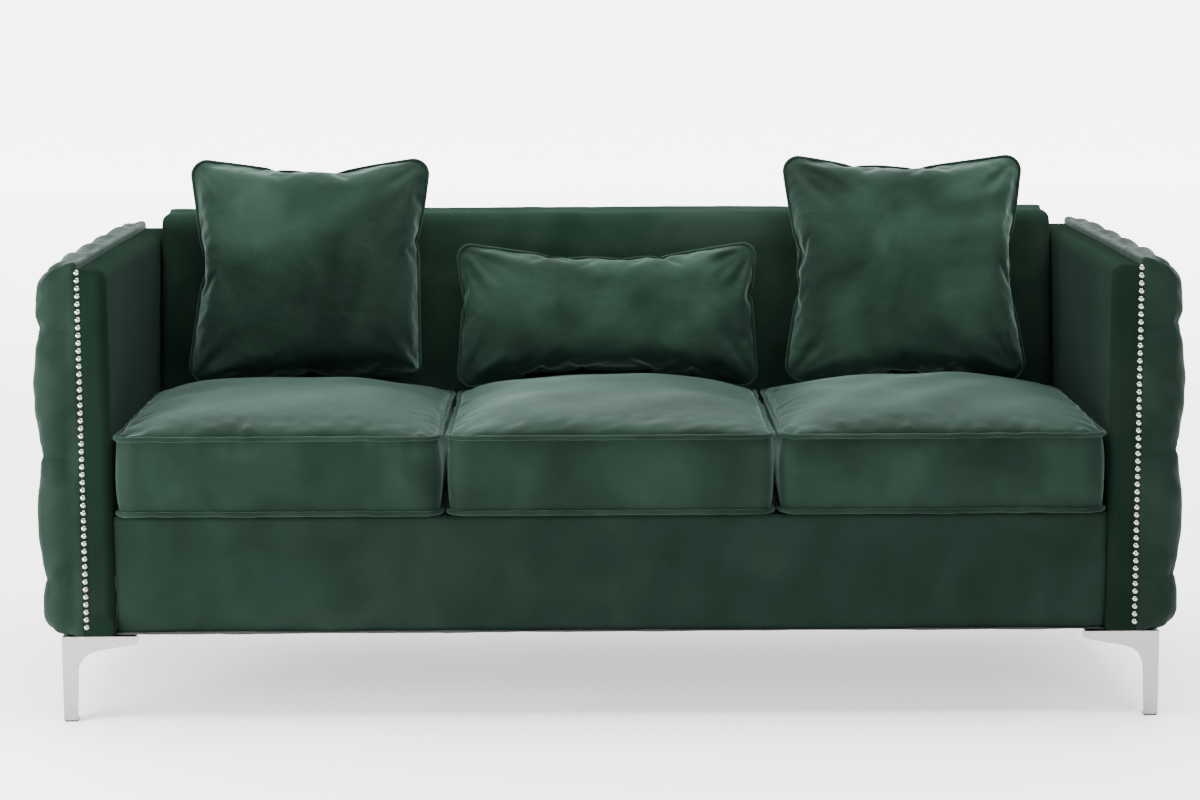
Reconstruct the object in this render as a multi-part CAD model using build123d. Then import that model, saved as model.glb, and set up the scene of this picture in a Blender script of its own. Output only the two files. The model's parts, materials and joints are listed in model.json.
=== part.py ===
"""Three-seat velvet sofa with button-tufted arms, as separate closed solids in millimetres.

Row frame: +X to the right seen from the front, -Y is the front, +Z up. The origin is on the
floor, under the centre of the sofa's bounding box. Left and right are as seen from the front.
Each arm is modelled on the right and mirrored to the left.
"""

from build123d import *
import os
from math import atan, cos

# ---------------------------------------------------------------- driving dimensions
FRONT_Y = -418.0  # front of the seat cushions' piping, the foremost surface
REAR_Y = 418.0  # rear face of the arms and of the outside back
SEAT_HALF = 843.0  # middle of the sofa to an arm's inner face
ARM_FRONT_Y = -405.0  # front face of the arms
ARM_BOTTOM_Z = 150.0
ARM_TOP_Z = 776.0  # top of the arm's smooth inner part
TACK_X = 891.0  # line of decorative nails, where the tufted pad meets the inner part
PAD_OUTER_X = 968.0  # crest of the tufted pad
PAD_TOP_Z = 790.0
BACK_TOP_Z = 812.0
DECK_TOP_Z = 356.0  # platform that the seat cushions lie on
COVER = 1.5  # velvet with its backing
GAP = 0.5  # clearance between neighbouring pieces that only touch

# leg
LEG_TOP_Z = 148.0
LEG_CORNER_X = 935.0
LEG_CORNER_Y = 397.0
LEG_PLATE = 3.0
LEG_WING = 131.0  # how far each wing reaches along the base
LEG_STEM_TOP = 28.0
LEG_STEM_FOOT = 24.0
LEG_TIP = 12.0  # height of a wing's free end
GLIDE = 3.0  # thickness of the plastic glide under a leg

# base frame
RAIL = 25.0  # thickness of the base's lumber
RAIL_HALF = SEAT_HALF - GAP
RAIL_BOTTOM_Z = 160.0
RAIL_TOP_Z = 346.0
RAIL_FRONT_Y = -385.0
RAIL_REAR_Y = 414.0
APRON_FRONT_Y = -398.0
APRON_BOTTOM_Z = 154.0
SPRING_RAIL_Y = 128.0
SPRING_WIRE = 1.8  # radius
SPRING_Z = RAIL_TOP_Z + SPRING_WIRE + 0.2

# back
BACK_HALF = 838.0
BACK_BOTTOM_Z = 347.0
BACK_LEAN = 0.224  # how far the back's face leans rearwards per unit of height
BACK_FACE_FOOT_Y = 160.0  # the face at its bottom edge
BACK_FOAM = 58.4  # face to the foam's rear, measured along Y
BACK_TOP_FOAM = 11.5
BACK_ROUND = 16.0

# seat cushions
SEATS = 3
SEAT_PITCH = 2 * SEAT_HALF / SEATS
CUSHION_FRONT_Y = FRONT_Y + 8.0
CUSHION_REAR_Y = 150.0
CUSHION_HALF = 272.0
CUSHION_BOTTOM_Z = DECK_TOP_Z + 1.0
BOXING = 132.0  # height of a cushion's side band
CROWN = 46.0  # how far the middle stands above the top piping
CUSHION_CORNER = 26.0
PIPING = 4.0  # radius of the piping

# loose pillows: width, height, thickness at the middle, place of the middle
PILLOW_LEAN = 15.0  # degrees from upright
PILLOW_EDGE = 6.0  # half the thickness at the piping
SQUARE = {"half_width": 213.0, "half_height": 196.0, "half_thick": 68.0, "y": 164.0, "z": 716.5}
LUMBAR = {"half_width": 268.0, "half_height": 117.0, "half_thick": 54.0, "y": 158.0, "z": 637.5}
SQUARE_X = 553.0

# tufting
BUTTON_ROWS = 5
BUTTON_ROW_Z = 243.0  # lowest row
BUTTON_ROW_STEP = 108.0
BUTTON_STEP = 164.5
BUTTONS_IN_WIDE_ROW = 5
DIMPLE_DEPTH = 22.0
DIMPLE_RADIUS = 45.0
BUTTON_RADIUS = 11.0
BUTTON_HIGH = 6.0

# decorative nails
NAIL_COUNT = 47
NAIL_LOW_Z = 166.0
NAIL_HIGH_Z = 771.0
NAIL_RADIUS = 4.8
NAIL_HEIGHT = 2.6

PILLOW_SIDES = {"left": -SQUARE_X, "right": SQUARE_X}
SEAT_NAMES = {"left": -SEAT_PITCH, "middle": 0.0, "right": SEAT_PITCH}
BASE_BOLTS = [(-250.0, 250.0), (50.0, 250.0), (300.0, 250.0)]  # (y, z) through the side rails
BACK_BOLTS = [(383.0, 450.0), (383.0, 650.0)]  # (y, z) through the back's end ribs


# ---------------------------------------------------------------- helpers
def block(x0, x1, y0, y1, z0, z1):
    """A box given by its lowest and highest coordinates."""
    return Pos((x0 + x1) / 2, (y0 + y1) / 2, (z0 + z1) / 2) * Box(x1 - x0, y1 - y0, z1 - z0)


def group(solids):
    """Separate solids that share one node."""
    return Compound(children=[s for part in solids for s in part.solids()])


def mirrored(shape):
    """The same piece on the other side of the sofa."""
    return mirror(shape, about=Plane.YZ)


def across_x(points, half):
    """A prism along X from points given as (y, z)."""
    return extrude(Plane.YZ * make_face(Polyline(*points, close=True)), half, both=True)


def rod(radius, start, length, axis):
    """A round bar from start, along an axis vector."""
    return extrude(Plane(origin=start, z_dir=axis) * Circle(radius), length)


def near(value, target):
    return abs(value - target) < 0.01


def save(shape, name):
    export_step(shape, f"parts/{name}.step")


# ---------------------------------------------------------------- base frame
def base_rails():
    """The four outer rails, and the inner ones that brace them and carry the springs."""
    front = block(-RAIL_HALF, RAIL_HALF, RAIL_FRONT_Y, RAIL_FRONT_Y + RAIL, RAIL_BOTTOM_Z, RAIL_TOP_Z)
    rear = block(-RAIL_HALF, RAIL_HALF, RAIL_REAR_Y - RAIL, RAIL_REAR_Y, RAIL_BOTTOM_Z, RAIL_TOP_Z)
    side_y = (RAIL_FRONT_Y + RAIL, RAIL_REAR_Y - RAIL)
    side = block(RAIL_HALF - RAIL, RAIL_HALF, *side_y, RAIL_BOTTOM_Z, RAIL_TOP_Z)
    for y, z in BASE_BOLTS:
        side -= rod(4.5, (RAIL_HALF - RAIL - 1, y, z), RAIL + 2, (1, 0, 0))
    inner_half = RAIL_HALF - RAIL
    spring_rail = block(
        -inner_half, inner_half, SPRING_RAIL_Y, SPRING_RAIL_Y + RAIL, 230.0, RAIL_TOP_Z
    )
    stretchers = [
        block(x - RAIL / 2, x + RAIL / 2, *side_y, RAIL_BOTTOM_Z, 229.0)
        for x in (-SEAT_PITCH / 2, SEAT_PITCH / 2)
    ]
    save(group([front, rear]), "base_long_rails")
    save(group([side, mirrored(side)]), "base_side_rails")
    save(spring_rail, "base_spring_rail")
    save(group(stretchers), "base_stretchers")


def corner_blocks():
    """Triangular glue blocks in the base's four corners."""
    reach = 60.0
    x = RAIL_HALF - RAIL
    blocks = []
    for sx in (-1, 1):
        for y, sy in ((RAIL_FRONT_Y + RAIL, 1), (RAIL_REAR_Y - RAIL, -1)):
            corner = [(sx * x, y), (sx * (x - reach), y), (sx * x, y + sy * reach)]
            face = make_face(Polyline(*corner, close=True))
            blocks.append(extrude(Pos(0, 0, 170.0) * face, 60.0))
    save(group(blocks), "corner_blocks")


def spring_places():
    """X of each seat spring, four to a seat."""
    return [seat + step * 140.0 for seat in SEAT_NAMES.values() for step in (-1.5, -0.5, 0.5, 1.5)]


def seat_springs():
    """Sinuous springs from the front rail to the spring rail, and the clips that hold their ends."""
    start, end = RAIL_FRONT_Y + RAIL / 2, SPRING_RAIL_Y + RAIL / 2
    rows, swing, lead = 20, 24.0, 26.0
    step = (end - start - 2 * lead) / (rows - 1)
    points = [(0, start), (0, start + lead)]
    for row in range(rows):
        y = start + lead + row * step
        side = swing if row % 2 == 0 else -swing
        points[-1 if row == 0 else len(points) :] = [(-side if row else 0, y), (side, y)]
    points[-1] = (0, end - lead)
    points.append((0, end))
    path = FilletPolyline(*[(x, y, SPRING_Z) for x, y in points], radius=step * 0.47)
    spring = sweep(Plane(origin=path @ 0, z_dir=path % 0) * Circle(SPRING_WIRE), path=path)
    channel = SPRING_WIRE + 0.15
    clips = []
    for y in (start + 4.0, end - 4.0):
        clip = block(-10, 10, y - 8, y + 8, RAIL_TOP_Z, SPRING_Z + channel + 0.5)
        clips.append(clip - block(-channel, channel, y - 9, y + 9, RAIL_TOP_Z - 1, SPRING_Z + channel))
    save(group([Pos(x, 0, 0) * spring for x in spring_places()]), "seat_springs")
    save(group([Pos(x, 0, 0) * clip for x in spring_places() for clip in clips]), "spring_clips")


def deck_and_apron():
    """The platform over the springs, the padded front rail and the sheet under the base."""
    deck_front = RAIL_FRONT_Y + 34.0
    save(
        block(-RAIL_HALF, RAIL_HALF, deck_front, BACK_FACE_FOOT_Y - 1, SPRING_Z + 2.6, DECK_TOP_Z),
        "seat_deck",
    )
    inner_y = APRON_FRONT_Y + COVER
    skin_top, skin_bottom = DECK_TOP_Z - COVER, APRON_BOTTOM_Z + COVER
    pad = block(-RAIL_HALF, RAIL_HALF, inner_y, RAIL_FRONT_Y, skin_bottom, skin_top)
    pad += block(-RAIL_HALF, RAIL_HALF, RAIL_FRONT_Y, deck_front - 1, SPRING_Z + 2.6, skin_top)
    save(pad, "front_rail_pad")
    cover = block(-RAIL_HALF, RAIL_HALF, APRON_FRONT_Y, deck_front - 1, APRON_BOTTOM_Z, DECK_TOP_Z)
    cover -= block(-SEAT_HALF, SEAT_HALF, inner_y, deck_front, skin_bottom, skin_top)
    save(cover, "front_rail_cover")
    save(
        block(-RAIL_HALF, RAIL_HALF, APRON_FRONT_Y + 2, RAIL_REAR_Y, ARM_BOTTOM_Z + 2.5, ARM_BOTTOM_Z + 3.5),
        "dust_cover",
    )


# ---------------------------------------------------------------- arms
FRAME_X = (857.0, 893.0)  # the arm's lumber
FRAME_Y = (-392.0, 405.0)
FRAME_TOP_Z = 762.0
BOARD = 5.0  # plywood behind the tufted pad
POST = 45.0


def arm_inner_form(inset, open_side):
    """The smooth inner part of an arm, rounded where it shows; open_side runs it on past its joints."""
    solid = block(
        SEAT_HALF + inset,
        TACK_X + open_side,
        ARM_FRONT_Y + inset,
        REAR_Y - inset,
        ARM_BOTTOM_Z - open_side,
        ARM_TOP_Z - inset,
    )
    radius = 18.0 - inset
    x, z = SEAT_HALF + inset, ARM_TOP_Z - inset
    upright = [e for e in solid.edges().filter_by(Axis.Z) if near(e.center().X, x)]
    top = [e for e in solid.edges() if near(e.center().Z, z) and not near(e.center().X, TACK_X + open_side)]
    return fillet(upright + top, radius)


def arm_pad_form(inset, open_side):
    """The block that the tufted pad is made from, rounded all round its outer face."""
    solid = block(
        TACK_X - open_side,
        PAD_OUTER_X - inset,
        ARM_FRONT_Y + inset,
        REAR_Y - inset,
        ARM_BOTTOM_Z + inset,
        PAD_TOP_Z - inset,
    )
    return fillet(solid.faces().sort_by(Axis.X)[-1].edges(), 38.0 - inset)


def button_places():
    """(y, z) of each tufting button: wide rows and narrow rows by turns."""
    middle_y = (ARM_FRONT_Y + REAR_Y) / 2
    places = []
    for row in range(BUTTON_ROWS):
        count = BUTTONS_IN_WIDE_ROW - row % 2
        for n in range(count):
            places.append((middle_y + (n - (count - 1) / 2) * BUTTON_STEP, BUTTON_ROW_Z + row * BUTTON_ROW_STEP))
    return places


def dimples(grow):
    """Hollows that the buttons pull into the pad."""
    radius = (DIMPLE_RADIUS**2 + DIMPLE_DEPTH**2) / (2 * DIMPLE_DEPTH)
    ball = Sphere(radius + grow)
    return [Pos(PAD_OUTER_X - DIMPLE_DEPTH + radius, y, z) * ball for y, z in button_places()]


def bolt_holes(shape, places, radius, x0, x1):
    for y, z in places:
        shape -= rod(radius, (x0, y, z), x1 - x0, (1, 0, 0))
    return shape


def arm_nodes():
    """Every piece of the right arm, by name."""
    bolts = BASE_BOLTS + BACK_BOLTS
    inner_cover = arm_inner_form(0, 0) - arm_inner_form(COVER, 20)
    inner_cover = bolt_holes(inner_cover, bolts, 5.0, SEAT_HALF - 1, SEAT_HALF + 5)
    core = block(FRAME_X[0] - GAP, TACK_X + 30, FRAME_Y[0] - GAP, FRAME_Y[1] + GAP, 0, FRAME_TOP_Z + GAP)
    inner_pad = arm_inner_form(COVER, 20) & block(0, TACK_X, -500, 500, ARM_BOTTOM_Z, 900)
    inner_pad = bolt_holes(inner_pad - core, bolts, 5.0, SEAT_HALF, FRAME_X[0])

    lumber_y = (FRAME_Y[0] + POST, FRAME_Y[1] - POST)
    brace_y = -40.0
    foot_z = LEG_TOP_Z + 0.3
    frame = group(
        [
            block(*FRAME_X, FRAME_Y[0], lumber_y[0], foot_z, FRAME_TOP_Z),
            block(*FRAME_X, lumber_y[1], FRAME_Y[1], foot_z, FRAME_TOP_Z),
            block(*FRAME_X, *lumber_y, foot_z, 205.0),
            block(*FRAME_X, *lumber_y, 228.0, 272.0),
            block(*FRAME_X, *lumber_y, FRAME_TOP_Z - 35.0, FRAME_TOP_Z),
            block(*FRAME_X, brace_y, brace_y + POST, 272.0, FRAME_TOP_Z - 35.0),
        ]
    )

    board_x = FRAME_X[1]
    board = block(
        board_x, board_x + BOARD, ARM_FRONT_Y + 6, REAR_Y - 6, ARM_BOTTOM_Z + 4, FRAME_TOP_Z + 8
    )
    outer_cover = arm_pad_form(0, 0)
    outer_pad = arm_pad_form(COVER, 20)
    for ball in dimples(0):
        outer_cover -= ball
    for ball in dimples(COVER):
        outer_pad -= ball
    outer_cover -= outer_pad
    outer_cover -= block(TACK_X - 1, FRAME_X[1] + 0.2, FRAME_Y[0] - GAP, FRAME_Y[1] + GAP, 100, 200)
    outer_pad &= block(board_x + BOARD, 1000, -500, 500, 0, 900)

    seat_x = PAD_OUTER_X - DIMPLE_DEPTH
    dome_radius = (BUTTON_RADIUS**2 + BUTTON_HIGH**2) / (2 * BUTTON_HIGH)
    dome = Pos(0, 0, BUTTON_HIGH - dome_radius) * Sphere(dome_radius) & block(-20, 20, -20, 20, 0, 20)
    prong = Pos(0, 0, (board_x - seat_x) / 2) * Cylinder(1.5, seat_x - board_x)
    button = Pos(0, 0, -1) * Cylinder(BUTTON_RADIUS, 2) + Pos(0, 0, 0) * dome + prong
    turned = Rot(0, 90, 0) * button
    buttons = group([Pos(seat_x + 2.3, y, z) * turned for y, z in button_places()])

    cap_radius = (NAIL_RADIUS**2 + NAIL_HEIGHT**2) / (2 * NAIL_HEIGHT)
    cap = Pos(0, cap_radius - NAIL_HEIGHT, 0) * Sphere(cap_radius)
    nail = cap & block(-10, 10, -10, 0, -10, 10)
    nail += rod(0.9, (0, -0.5, 0), 22.0, (0, 1, 0))
    step = (NAIL_HIGH_Z - NAIL_LOW_Z) / (NAIL_COUNT - 1)
    nails = group([Pos(TACK_X, ARM_FRONT_Y, NAIL_LOW_Z + n * step) * nail for n in range(NAIL_COUNT)])
    return {
        "frame": frame,
        "inner_pad": inner_pad,
        "inner_cover": inner_cover,
        "outer_board": board,
        "outer_pad": outer_pad,
        "outer_cover": outer_cover,
        "tufting_buttons": buttons,
        "nailheads": nails,
    }


def arms():
    for name, shape in arm_nodes().items():
        save(shape, f"right_arm_{name}")
        save(mirrored(shape), f"left_arm_{name}")


# ---------------------------------------------------------------- back
def face_y(z):
    """Where the back's leaning face is, at a height."""
    return BACK_FACE_FOOT_Y + BACK_LEAN * (z - BACK_BOTTOM_Z)


def back_form(inset, open_side):
    """The back's upholstered block; open_side runs it on past its open rear and bottom."""
    bottom, top = BACK_BOTTOM_Z - open_side, BACK_TOP_Z - inset
    rear = REAR_Y - 1.6 + open_side
    forward = inset / cos(atan(BACK_LEAN))
    section = [
        (face_y(bottom) + forward, bottom),
        (face_y(top) + forward, top),
        (rear, top),
        (rear, bottom),
    ]
    solid = across_x(section, BACK_HALF - inset)
    half = BACK_HALF - inset
    shown = [e for e in solid.edges() if near(e.center().Z, top) and not near(e.center().Y, rear)]
    shown += [
        e
        for e in solid.edges()
        if near(abs(e.center().X), half) and e.center().Y < face_y(e.center().Z) + forward + 1
        and bottom + 5 < e.center().Z < top - 5
    ]
    return fillet(shown, BACK_ROUND - inset)


def slanted(front, thick, z0, z1, half):
    """A board parallel to the back's face, front being its distance behind the face along Y."""
    return across_x(
        [
            (face_y(z0) + front, z0),
            (face_y(z1) + front, z1),
            (face_y(z1) + front + thick, z1),
            (face_y(z0) + front + thick, z0),
        ],
        half,
    )


def back():
    """Frame, webbing, foam and covers of the back."""
    frame_y, top = BACK_FOAM + 1.8, BACK_TOP_Z - BACK_TOP_FOAM - GAP
    rib, rail_high = 18.0, 55.0
    end_x = BACK_HALF - 5.0 - rib
    rear = REAR_Y - 2.0
    rib_section = [
        (face_y(BACK_BOTTOM_Z) + frame_y + RAIL, BACK_BOTTOM_Z),
        (face_y(top) + frame_y + RAIL, top),
        (rear - RAIL, top),
        (rear - RAIL, BACK_BOTTOM_Z),
    ]
    one_rib = across_x(rib_section, rib / 2)
    end_rib = bolt_holes(Pos(end_x + rib / 2, 0, 0) * one_rib, BACK_BOLTS, 4.5, end_x - 1, end_x + rib + 1)
    ribs = [end_rib, mirrored(end_rib), Pos(SEAT_PITCH / 2, 0, 0) * one_rib, Pos(-SEAT_PITCH / 2, 0, 0) * one_rib]
    half = end_x + rib
    levels = [(BACK_BOTTOM_Z, BACK_BOTTOM_Z + rail_high), (top - rail_high, top)]
    rails = [slanted(frame_y, RAIL, z0, z1, half) for z0, z1 in levels]
    rails += [block(-half, half, rear - RAIL, rear, z0, z1) for z0, z1 in levels]
    save(group(ribs + rails), "back_frame")

    strap = slanted(BACK_FOAM + 0.1, 1.5, BACK_BOTTOM_Z + 10, top - 5, 30.0)
    straps = [Pos(n * 140.0, 0, 0) * strap for n in range(-5, 6)]
    save(group(straps), "back_webbing")

    inner = back_form(COVER, 20)
    open_rear = block(-900, 900, -500, REAR_Y - 1.6, BACK_BOTTOM_Z, 900)
    hollow = across_x(
        [
            (face_y(200) + BACK_FOAM, 200),
            (face_y(BACK_TOP_Z - BACK_TOP_FOAM) + BACK_FOAM, BACK_TOP_Z - BACK_TOP_FOAM),
            (600, BACK_TOP_Z - BACK_TOP_FOAM),
            (600, 200),
        ],
        900,
    )
    save((inner & open_rear) - hollow, "back_pad")
    cover = back_form(0, 0) - inner
    cover = bolt_holes(cover, BACK_BOLTS, 5.0, BACK_HALF - 5, BACK_HALF + 5)
    save(bolt_holes(cover, BACK_BOLTS, 5.0, -BACK_HALF - 5, -BACK_HALF + 5), "back_inner_cover")
    save(
        block(-RAIL_HALF, RAIL_HALF, REAR_Y - COVER, REAR_Y, ARM_BOTTOM_Z + 4, BACK_TOP_Z - 6),
        "back_outer_cover",
    )


def frame_bolts():
    """Hexagon bolts from inside the base and back into the arms."""
    head_high, into_arm, radius = 5.5, 885.0, 4.0
    hexagon = extrude(Plane.YZ * RegularPolygon(7.5, 6), head_high)
    bolts = []
    seats = [(RAIL_HALF - RAIL, p) for p in BASE_BOLTS] + [(BACK_HALF - 23.0, p) for p in BACK_BOLTS]
    for x, (y, z) in seats:
        shank = rod(radius, (x - 1, y, z), into_arm - x + 1, (1, 0, 0))
        bolts.append(Pos(x - head_high, y, z) * hexagon + shank)
    save(group(bolts + [mirrored(b) for b in bolts]), "frame_bolts")


# ---------------------------------------------------------------- legs
SCREW_PLACES = [(866.0, 380.0), (884.0, 380.0), (866.0, 300.0), (884.0, 300.0)]


def wing_profile():
    """One wing of a leg: (distance from the corner, height), with its inside curve as an arc."""
    foot_z = GLIDE
    crook = (LEG_STEM_TOP, LEG_TOP_Z - 31.0)  # where the two straight edges would meet
    outline = Polyline(
        (0, foot_z),
        (0, LEG_TOP_Z),
        (LEG_WING, LEG_TOP_Z),
        (LEG_WING, LEG_TOP_Z - LEG_TIP),
        crook,
        (LEG_STEM_FOOT, foot_z),
        close=True,
    )
    face = make_face(outline)
    tip, bend = (
        min(face.vertices(), key=lambda v: (Vector(v) - Vector(*p, 0)).length)
        for p in ((LEG_WING, LEG_TOP_Z - LEG_TIP), crook)
    )
    face = fillet(tip, 6.0)
    bend = min(face.vertices(), key=lambda v: (Vector(v) - Vector(*crook, 0)).length)
    return fillet(bend, 38.0)


def leg():
    """The right rear leg: two wings at a right angle, a screw flange on top and a foot plate."""
    profile = wing_profile()
    rear_plane = Plane(origin=(LEG_CORNER_X, LEG_CORNER_Y - LEG_PLATE, 0), x_dir=(-1, 0, 0), z_dir=(0, 1, 0))
    side_plane = Plane(origin=(LEG_CORNER_X, LEG_CORNER_Y, 0), x_dir=(0, -1, 0), z_dir=(-1, 0, 0))
    along_x = extrude(rear_plane * profile, LEG_PLATE)
    along_y = extrude(side_plane * profile, LEG_PLATE)
    inset = LEG_PLATE
    x1, y1 = LEG_CORNER_X - inset, LEG_CORNER_Y - inset
    reach, clip = LEG_WING - 8.0, 55.0
    flange_face = make_face(
        Polyline(
            (x1, y1),
            (x1, y1 - reach),
            (x1 - reach + clip, y1 - reach),
            (x1 - reach, y1 - reach + clip),
            (x1 - reach, y1),
            close=True,
        )
    )
    flange = extrude(Pos(0, 0, LEG_TOP_Z - LEG_PLATE) * flange_face, LEG_PLATE)
    for x, y in SCREW_PLACES:
        flange -= rod(2.6, (x, y, LEG_TOP_Z - LEG_PLATE - 1), LEG_PLATE + 2, (0, 0, 1))
    foot = block(x1 - LEG_STEM_FOOT + 4, x1, y1 - LEG_STEM_FOOT + 4, y1, GLIDE, GLIDE + LEG_PLATE)
    return along_x + along_y + flange + foot


def legs():
    """Four chromed legs, their glides and their screws."""
    rear_right = leg()
    front_right = mirror(rear_right, about=Plane.XZ)
    save(rear_right, "right_rear_leg")
    save(mirrored(rear_right), "left_rear_leg")
    save(front_right, "right_front_leg")
    save(mirrored(front_right), "left_front_leg")
    side = LEG_STEM_FOOT - 2
    x1, y1 = LEG_CORNER_X - 1, LEG_CORNER_Y - 1
    glide = block(x1 - side, x1, y1 - side, y1, 0, GLIDE)
    screw_head_z = LEG_TOP_Z - LEG_PLATE
    screws = []
    for x, y in SCREW_PLACES:
        head = Pos(x, y, screw_head_z - 1.25) * Cylinder(4.5, 2.5)
        screws.append(head + rod(2.2, (x, y, screw_head_z - 1), 30.0, (0, 0, 1)))
    four = [glide, *screws]
    four += [mirror(s, about=Plane.XZ) for s in four]
    four += [mirrored(s) for s in four]
    save(group([s for s in four if near(s.bounding_box().min.Z, 0)]), "leg_glides")
    save(group([s for s in four if not near(s.bounding_box().min.Z, 0)]), "leg_screws")


# ---------------------------------------------------------------- seat cushions
def cushion_form(inset):
    """A boxed seat cushion, crowned both ways by a large sphere, about x = 0."""
    half = CUSHION_HALF - inset
    front, rear = CUSHION_FRONT_Y + inset, CUSHION_REAR_Y - inset
    middle, deep = (front + rear) / 2, rear - front
    ball_radius = (CUSHION_HALF**2 + (CUSHION_REAR_Y - CUSHION_FRONT_Y) ** 2 / 4) / (2 * CROWN)
    crest = CUSHION_BOTTOM_Z + BOXING + CROWN
    plan = Pos(0, middle, CUSHION_BOTTOM_Z + inset) * RectangleRounded(2 * half, deep, CUSHION_CORNER - inset)
    ball = Pos(0, middle, crest - ball_radius) * Rot(90, 0, 0) * Sphere(ball_radius - inset)
    return extrude(plan, BOXING + CROWN + 10) & ball


def cushion_piping():
    """The two loops of piping round a cushion's side band."""
    wide, deep = 2 * (CUSHION_HALF + PIPING), CUSHION_REAR_Y - CUSHION_FRONT_Y + 2 * PIPING
    plan = RectangleRounded(wide, deep, CUSHION_CORNER + PIPING)
    loops = []
    for z in (CUSHION_BOTTOM_Z + PIPING, CUSHION_BOTTOM_Z + BOXING - PIPING):
        path = (Pos(0, (CUSHION_FRONT_Y + CUSHION_REAR_Y) / 2, z) * plan).wire()
        loops.append(sweep(Plane(origin=path @ 0, z_dir=path % 0) * Circle(PIPING), path=path))
    return group(loops)


ZIP_HALF = 230.0
ZIP_Z = CUSHION_BOTTOM_Z + 68.0
ZIP_TRAVEL = 430.0


def zip_tape():
    """The zip's tape and closed chain, on the cushion's rear band."""
    tape = block(-ZIP_HALF, ZIP_HALF, CUSHION_REAR_Y, CUSHION_REAR_Y + 1, ZIP_Z - 14, ZIP_Z + 14)
    ends = ZIP_HALF - 4
    return tape + block(-ends, ends, CUSHION_REAR_Y + 1, CUSHION_REAR_Y + 2.6, ZIP_Z - 3, ZIP_Z + 3)


def zip_slider():
    """The slider that straddles the chain, with its pull hanging below it."""
    x, y = -ZIP_TRAVEL / 2, CUSHION_REAR_Y
    slider = block(x - 6, x + 6, y + 1.2, y + 5, ZIP_Z - 5, ZIP_Z + 5)
    slider -= block(x - 7, x + 7, y + 1, y + 2.9, ZIP_Z - 3.3, ZIP_Z + 3.3)
    pull = block(x - 3, x + 3, y + 5, y + 6.2, ZIP_Z - 26, ZIP_Z + 2)
    return slider + pull


def seat_cushions():
    cover_form, foam = cushion_form(0), cushion_form(COVER)
    pieces = {
        "foam": foam,
        "cover": cover_form - foam,
        "piping": cushion_piping(),
        "zip": zip_tape(),
        "zip_slider": zip_slider(),
    }
    for seat, x in SEAT_NAMES.items():
        for name, shape in pieces.items():
            save(Pos(x, 0, 0) * shape, f"{seat}_seat_{name}")


# ---------------------------------------------------------------- pillows
def pillow_section(half, inset, facets):
    """Half of a pillow's section, from its edge to its flat middle, mirrored all round."""
    quarter = [(half - inset - back, thick - inset) for back, thick in facets]
    right = [*quarter, *((x, -y) for x, y in reversed(quarter))]
    left = [(-x, y) for x, y in reversed(right)]
    return make_face(Polyline(*right, *left, close=True))


def pillow_form(size, inset):
    """A pillow about the origin, standing in the XZ plane, with facets that thin it towards its edges."""
    middle = size["half_thick"]
    wide, high = size["half_width"], size["half_height"]
    wide_facets = [(wide * 0.62, middle), (wide * 0.28, middle * 0.74), (0, PILLOW_EDGE)]
    high_facets = [(high * 0.60, middle + 1), (high * 0.26, middle * 0.70), (0, PILLOW_EDGE + 0.5)]
    across = extrude(pillow_section(wide, inset, wide_facets), high - inset, both=True)
    upright = Plane.YZ * Rot(0, 0, 90) * pillow_section(high, inset, high_facets)
    return across & extrude(upright, wide - inset, both=True)


def pillow_piping(size):
    wide, high = (2 * (size[half] + PIPING) for half in ("half_width", "half_height"))
    plan = Plane.XZ * RectangleRounded(wide, high, 1.2 * PIPING)
    path = plan.wire()
    return sweep(Plane(origin=path @ 0, z_dir=path % 0) * Circle(PIPING), path=path)


def pillow(size, x, name):
    """A filled insert, its cover and the piping sewn round the cover."""
    place = Pos(x, size["y"], size["z"]) * Rot(-PILLOW_LEAN, 0, 0)
    fill = pillow_form(size, COVER)
    cover = pillow_form(size, 0) - fill
    save(place * fill, f"{name}_fill")
    save(group([place * cover, place * pillow_piping(size)]), f"{name}_cover")


def main():
    os.makedirs("parts", exist_ok=True)
    base_rails()
    corner_blocks()
    seat_springs()
    deck_and_apron()
    arms()
    back()
    frame_bolts()
    legs()
    seat_cushions()
    for side, x in PILLOW_SIDES.items():
        pillow(SQUARE, x, f"{side}_pillow")
    pillow(LUMBAR, 0.0, "lumbar_pillow")


main()
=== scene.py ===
"""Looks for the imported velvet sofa: fabric covers, piping, pillows, materials, light and camera."""

import json
from math import cos, pi, radians, sin

import bpy
import numpy as np
from mathutils import Matrix, Vector

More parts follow.
